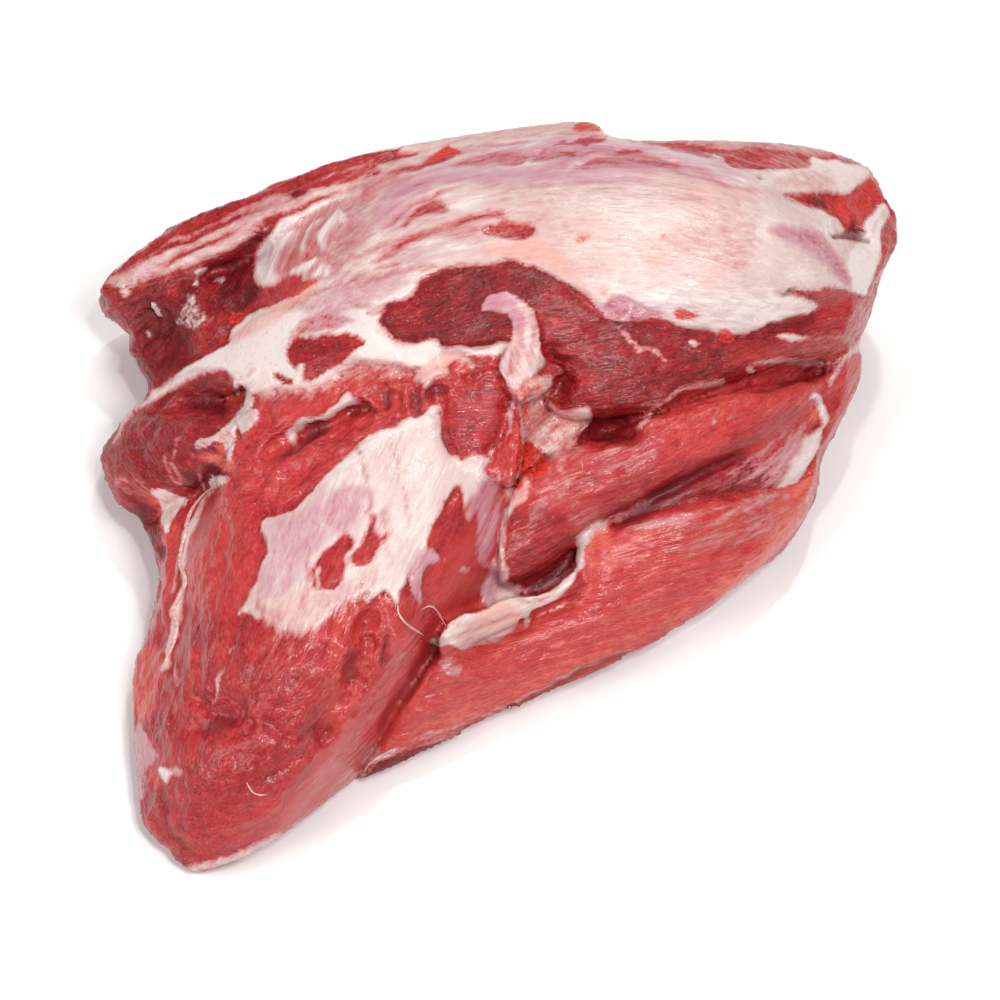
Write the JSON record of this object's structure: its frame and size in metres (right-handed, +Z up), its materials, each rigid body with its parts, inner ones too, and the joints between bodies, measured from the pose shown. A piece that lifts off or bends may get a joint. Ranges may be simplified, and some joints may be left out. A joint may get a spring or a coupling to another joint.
{
  "type": "raw beef topside",
  "caption": "Whole raw beef topside, a boned-out joint of red muscle with a silverskin cap, white fat seams and a loose front flap, lying on its flat underside.",
  "frame": {"origin": "middle of the joint's bounding box, at the level of the board that it lies on", "axes": "+Z up, +X to the right as the joint is seen from the front, -Y towards its pointed front end"},
  "size_m": [0.3826, 0.3632, 0.1301],
  "materials": {
    "meat": "wet raw beef, dark red lean with white fat and pale silverskin"
  },
  "bodies": {
    "root": {"topside": "meat"}
  },
  "joints": []
}
